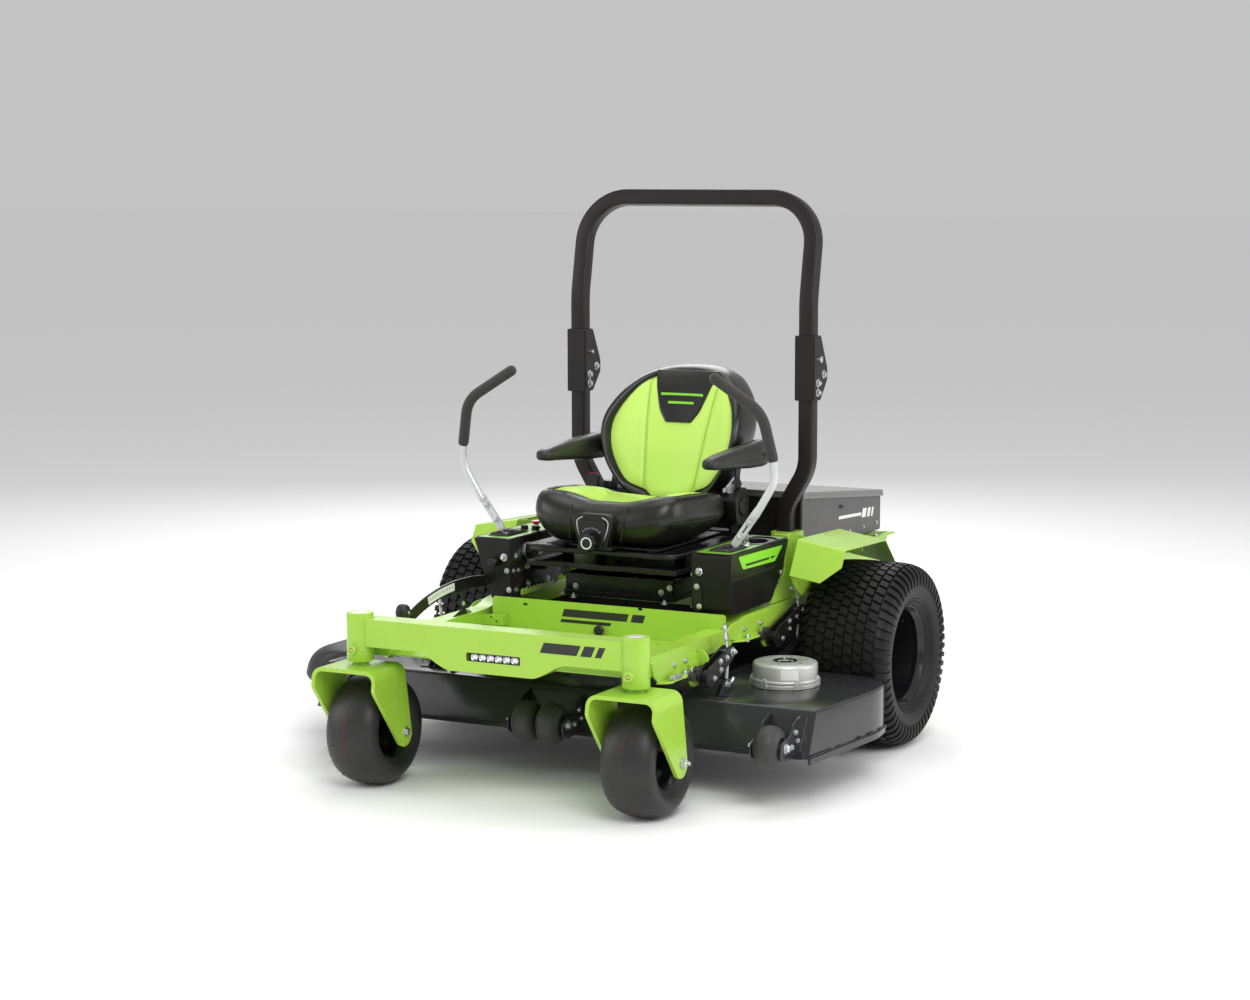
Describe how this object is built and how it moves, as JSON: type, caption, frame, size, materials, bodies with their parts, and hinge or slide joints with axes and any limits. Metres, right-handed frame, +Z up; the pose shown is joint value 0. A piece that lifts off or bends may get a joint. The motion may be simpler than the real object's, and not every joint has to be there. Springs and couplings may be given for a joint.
{
  "type": "riding lawn mower",
  "caption": "Battery-electric zero-turn riding mower: lap bars, suspended bucket seat, folding roll bar, rear battery box, swivelling front casters and a side-discharge deck.",
  "frame": {"origin": "the centre of the bottom of the bounding box, on the ground", "axes": "+X is the driver's left, +Y points from the front casters to the rear battery box, +Z is up"},
  "size_m": [1.933, 2.125, 1.7487],
  "materials": {
    "frame_green": "gloss enamel",
    "frame_black": "satin powder coat",
    "deck_black": "satin powder coat",
    "pod_black": "moulded",
    "tyre_rubber": "matt",
    "black_rubber": "matt",
    "rim_black": "satin enamel",
    "seat_vinyl_black": "grained vinyl",
    "seat_vinyl_lime": "grained vinyl",
    "black_plastic": "moulded",
    "zinc_steel": "zinc plated",
    "lever_silver": "satin silver",
    "cast_aluminium": "as cast",
    "red_plastic": "moulded",
    "led_lens": "clear moulded",
    "battery_case": "moulded",
    "blade_steel": "rolled",
    "scale_white": "printed",
    "badge_green": "printed"
  },
  "bodies": {
    "chassis": {"front_beam": "frame_green", "led_light_bar": "led_lens", "floor_panel": "frame_green", "drive_housing": "frame_black", "rear_frame": "frame_green", "control_pod_left": "pod_black", "control_pod_right": "pod_black", "wheel_motor_left": "cast_aluminium", "wheel_motor_right": "cast_aluminium", "frame_rail_left": "frame_green", "frame_rail_right": "frame_green", "rops_post_left": "frame_black", "rops_post_right": "frame_black", "fender_left": "frame_green", "fender_right": "frame_green", "seat_base": "frame_black", "battery_box": "frame_black", "battery_pack": "battery_case", "height_dial": "frame_black"},
    "caster_left": {"caster_fork_left": "frame_green"},
    "caster_wheel_left": {"caster_rim_left": "rim_black", "caster_tyre_left": "tyre_rubber"},
    "drive_wheel_left": {"drive_rim_left": "rim_black", "drive_tyre_left": "tyre_rubber"},
    "caster_right": {"caster_fork_right": "frame_green"},
    "caster_wheel_right": {"caster_rim_right": "rim_black", "caster_tyre_right": "tyre_rubber"},
    "drive_wheel_right": {"drive_rim_right": "rim_black", "drive_tyre_right": "tyre_rubber"},
    "roll_hoop": {"rops_hoop": "frame_black"},
    "lever_left": {"lever_base_left": "zinc_steel"},
    "lap_left": {"lap_bar_left": "lever_silver", "lap_grip_left": "black_rubber"},
    "lever_right": {"lever_base_right": "zinc_steel"},
    "lap_right": {"lap_bar_right": "lever_silver", "lap_grip_right": "black_rubber"},
    "suspension": {"seat_suspension_plate": "frame_black"},
    "seat": {"seat_pan": "black_plastic", "seat_cushion": "seat_vinyl_lime"},
    "backrest": {"seat_backrest": "seat_vinyl_black"},
    "knob": {"weight_knob": "black_plastic"},
    "arm_left": {"armrest_left": "black_plastic"},
    "arm_right": {"armrest_right": "black_plastic"},
    "lid": {"battery_lid": "frame_black"},
    "deck": {"deck_shell": "deck_black", "deck_motor_left": "cast_aluminium", "deck_motor_centre": "cast_aluminium", "deck_motor_right": "cast_aluminium"},
    "blade_left": {"blade_left": "blade_steel"},
    "blade_centre": {"blade_centre": "blade_steel"},
    "blade_right": {"blade_right": "blade_steel"},
    "roller_left": {"roller_left": "black_plastic"},
    "roller_centre_left": {"roller_centre_left": "black_plastic"},
    "roller_centre_right": {"roller_centre_right": "black_plastic"},
    "roller_right": {"roller_right": "black_plastic"},
    "chute": {"discharge_chute": "black_rubber"},
    "lift_front": {"lift_shaft_front": "frame_black"},
    "lift_rear": {"lift_shaft_rear": "frame_black"},
    "pointer": {"height_pointer": "frame_green"},
    "pto": {"pto_knob": "red_plastic"}
  },
  "joints": [
    {"name": "caster_swivel_left", "type": "hinge", "parent": "chassis", "child": "caster_left", "pos_m": [0.5465, -0.9625, 0.372], "axis": [0, 0, 1], "continuous": true},
    {"name": "caster_spin_left", "type": "hinge", "parent": "caster_left", "child": "caster_wheel_left", "pos_m": [0.5465, -0.8925, 0.166], "axis": [1, 0, 0], "continuous": true},
    {"name": "drive_spin_left", "type": "hinge", "parent": "chassis", "child": "drive_wheel_left", "pos_m": [0.7515, 0.2875, 0.292], "axis": [1, 0, 0], "continuous": true},
    {"name": "caster_swivel_right", "type": "hinge", "parent": "chassis", "child": "caster_right", "pos_m": [-0.3635, -0.9625, 0.372], "axis": [0, 0, 1], "continuous": true},
    {"name": "caster_spin_right", "type": "hinge", "parent": "caster_right", "child": "caster_wheel_right", "pos_m": [-0.3635, -0.8925, 0.166], "axis": [1, 0, 0], "continuous": true},
    {"name": "drive_spin_right", "type": "hinge", "parent": "chassis", "child": "drive_wheel_right", "pos_m": [-0.5685, 0.2875, 0.292], "axis": [1, 0, 0], "continuous": true},
    {"name": "rops_fold", "type": "hinge", "parent": "chassis", "child": "roll_hoop", "pos_m": [0.0915, 0.3855, 1.162], "axis": [1, 0, 0], "range_deg": [-115, 0]},
    {"name": "lever_drive_left", "type": "hinge", "parent": "chassis", "child": "lever_left", "pos_m": [0.4905, -0.2065, 0.645], "axis": [1, 0, 0], "range_deg": [-15, 18]},
    {"name": "lever_swing_left", "type": "hinge", "parent": "lever_left", "child": "lap_left", "pos_m": [0.4905, -0.2065, 0.668], "axis": [0, 1, 0], "range_deg": [0, 24]},
    {"name": "lever_drive_right", "type": "hinge", "parent": "chassis", "child": "lever_right", "pos_m": [-0.3075, -0.2065, 0.645], "axis": [1, 0, 0], "range_deg": [-15, 18]},
    {"name": "lever_swing_right", "type": "hinge", "parent": "lever_right", "child": "lap_right", "pos_m": [-0.3075, -0.2065, 0.668], "axis": [0, -1, 0], "range_deg": [0, 24]},
    {"name": "seat_suspension", "type": "slide", "parent": "chassis", "child": "suspension", "axis": [0, 0, 1], "range_m": [-0.028, 0.025], "stiffness_N_per_m": 20000, "springref_m": 0.03},
    {"name": "seat_fore_aft", "type": "slide", "parent": "suspension", "child": "seat", "axis": [0, 1, 0], "range_m": [-0.075, 0.075]},
    {"name": "backrest_recline", "type": "hinge", "parent": "seat", "child": "backrest", "pos_m": [0.0915, 0.1775, 0.735], "axis": [-1, 0, 0], "range_deg": [0, 15]},
    {"name": "armrest_flip_left", "type": "hinge", "parent": "backrest", "child": "arm_left", "pos_m": [0.3535, 0.2325, 0.915], "axis": [-1, 0, 0], "range_deg": [0, 95]},
    {"name": "armrest_flip_right", "type": "hinge", "parent": "backrest", "child": "arm_right", "pos_m": [-0.1705, 0.2325, 0.915], "axis": [-1, 0, 0], "range_deg": [0, 95]},
    {"name": "weight_knob_turn", "type": "hinge", "parent": "seat", "child": "knob", "pos_m": [0.0915, -0.3845, 0.687], "axis": [0, 1, 0], "continuous": true},
    {"name": "battery_lid_hinge", "type": "hinge", "parent": "chassis", "child": "lid", "pos_m": [0.0915, 1.0555, 0.701], "axis": [-1, 0, 0], "range_deg": [0, 60]},
    {"name": "deck_lift", "type": "slide", "parent": "chassis", "child": "deck", "axis": [0, 0, 1], "range_m": [-0.1, 0]},
    {"name": "blade_spin_left", "type": "hinge", "parent": "deck", "child": "blade_left", "pos_m": [0.6915, -0.2605, 0.163], "axis": [0, 0, 1], "continuous": true},
    {"name": "blade_spin_centre", "type": "hinge", "parent": "deck", "child": "blade_centre", "pos_m": [0.0915, -0.2925, 0.163], "axis": [0, 0, 1], "continuous": true},
    {"name": "blade_spin_right", "type": "hinge", "parent": "deck", "child": "blade_right", "pos_m": [-0.5085, -0.2605, 0.163], "axis": [0, 0, 1], "continuous": true},
    {"name": "roller_spin_left", "type": "hinge", "parent": "deck", "child": "roller_left", "pos_m": [0.8365, -0.6975, 0.19], "axis": [1, 0, 0], "continuous": true},
    {"name": "roller_spin_centre_left", "type": "hinge", "parent": "deck", "child": "roller_centre_left", "pos_m": [0.1325, -0.6975, 0.19], "axis": [1, 0, 0], "continuous": true},
    {"name": "roller_spin_centre_right", "type": "hinge", "parent": "deck", "child": "roller_centre_right", "pos_m": [0.0505, -0.6975, 0.19], "axis": [1, 0, 0], "continuous": true},
    {"name": "roller_spin_right", "type": "hinge", "parent": "deck", "child": "roller_right", "pos_m": [-0.5785, -0.6975, 0.19], "axis": [1, 0, 0], "continuous": true},
    {"name": "chute_flap", "type": "hinge", "parent": "deck", "child": "chute", "pos_m": [-0.7565, -0.2375, 0.285], "axis": [0, 1, 0], "range_deg": [0, 70]},
    {"name": "lift_front_turn", "type": "hinge", "parent": "chassis", "child": "lift_front", "pos_m": [0.0915, -0.5775, 0.35], "axis": [1, 0, 0], "range_deg": [-40, 0]},
    {"name": "lift_rear_turn", "type": "hinge", "parent": "chassis", "child": "lift_rear", "pos_m": [0.0915, -0.0685, 0.384], "axis": [1, 0, 0], "range_deg": [-31, 0]},
    {"name": "pointer_slide", "type": "slide", "parent": "chassis", "child": "pointer", "axis": [0, 1, 0], "range_m": [-0.141, 0]},
    {"name": "pto_pull", "type": "slide", "parent": "chassis", "child": "pto", "axis": [0, 0, 1], "range_m": [0, 0.015]}
  ],
  "couplings": [
    {"joint": "lift_front_turn", "follows": "deck_lift", "rad_per_m": 6.65},
    {"joint": "lift_rear_turn", "follows": "deck_lift", "rad_per_m": 5.21},
    {"joint": "pointer_slide", "follows": "deck_lift", "ratio": 1.4}
  ]
}
